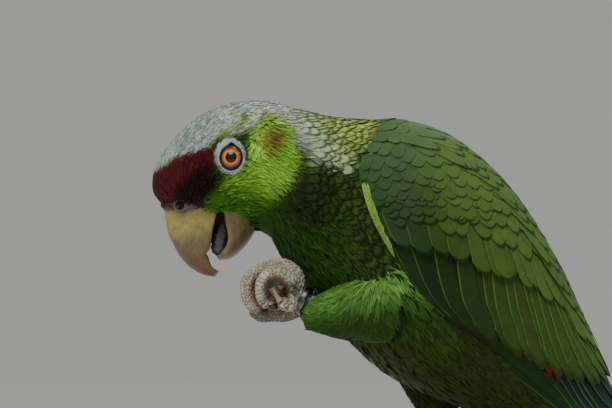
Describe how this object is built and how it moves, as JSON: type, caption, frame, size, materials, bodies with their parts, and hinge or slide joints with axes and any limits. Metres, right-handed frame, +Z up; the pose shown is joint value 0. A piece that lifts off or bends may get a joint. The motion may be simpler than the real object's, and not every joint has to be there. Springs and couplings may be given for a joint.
{
  "type": "lilac-crowned amazon parrot",
  "caption": "Still, life-size green parrot with a lilac crown and a raised foot curled as a fist, gripping a cut branch on a plain rod and round base.",
  "frame": {"origin": "middle of the stand base's underside", "axes": "+Z up, the bird faces -X, its left side is -Y"},
  "size_m": [0.2286, 0.14, 0.2532],
  "materials": {
    "head_plumage": "small overlapping feathers, lilac grey, maroon and bright green",
    "plumage": "overlapping green contour feathers with dark edges",
    "flight_feathers": "stiff green vanes with a shaft, faint sheen",
    "cere_skin": "dark grey bare skin round the nostrils",
    "bill_horn": "worn satin horn, ochre at the root and grey brown at the tip",
    "tongue_skin": "moist black grey skin",
    "eye_gloss": "wet clear surface over an orange iris and a black pupil",
    "bare_skin": "pale grey bare skin with fine folds",
    "foot_skin": "grey tan scaly skin",
    "claw_horn": "satin grey brown horn",
    "band_steel": "dark worn steel",
    "perch_bark": "rough bark with pale sawn ends",
    "rod_steel": "brushed steel",
    "base_wood": "dark oiled wood, satin"
  },
  "bodies": {
    "root": {"head": "head_plumage", "neck": "plumage", "trunk": "plumage", "cere": "cere_skin", "bill_upper": "bill_horn", "bill_lower": "bill_horn", "tongue": "tongue_skin", "eye_left": "eye_gloss", "eye_right": "eye_gloss", "eye_ring_left": "bare_skin", "eye_ring_right": "bare_skin", "wing_left_coverts": "flight_feathers", "wing_left_secondaries": "flight_feathers", "wing_left_primaries": "flight_feathers", "wing_right_coverts": "flight_feathers", "wing_right_secondaries": "flight_feathers", "wing_right_primaries": "flight_feathers", "tail": "flight_feathers", "thigh_left": "plumage", "thigh_right": "plumage", "tarsus_left": "foot_skin", "tarsus_right": "foot_skin", "toe_left_1": "foot_skin", "toe_left_2": "foot_skin", "toe_left_3": "foot_skin", "toe_left_4": "foot_skin", "toe_right_1": "foot_skin", "toe_right_2": "foot_skin", "toe_right_3": "foot_skin", "toe_right_4": "foot_skin", "claw_left_1": "claw_horn", "claw_left_2": "claw_horn", "claw_left_3": "claw_horn", "claw_left_4": "claw_horn", "claw_right_1": "claw_horn", "claw_right_2": "claw_horn", "claw_right_3": "claw_horn", "claw_right_4": "claw_horn", "leg_band": "band_steel", "perch": "perch_bark", "stand_rod": "rod_steel", "stand_base": "base_wood"}
  },
  "joints": []
}
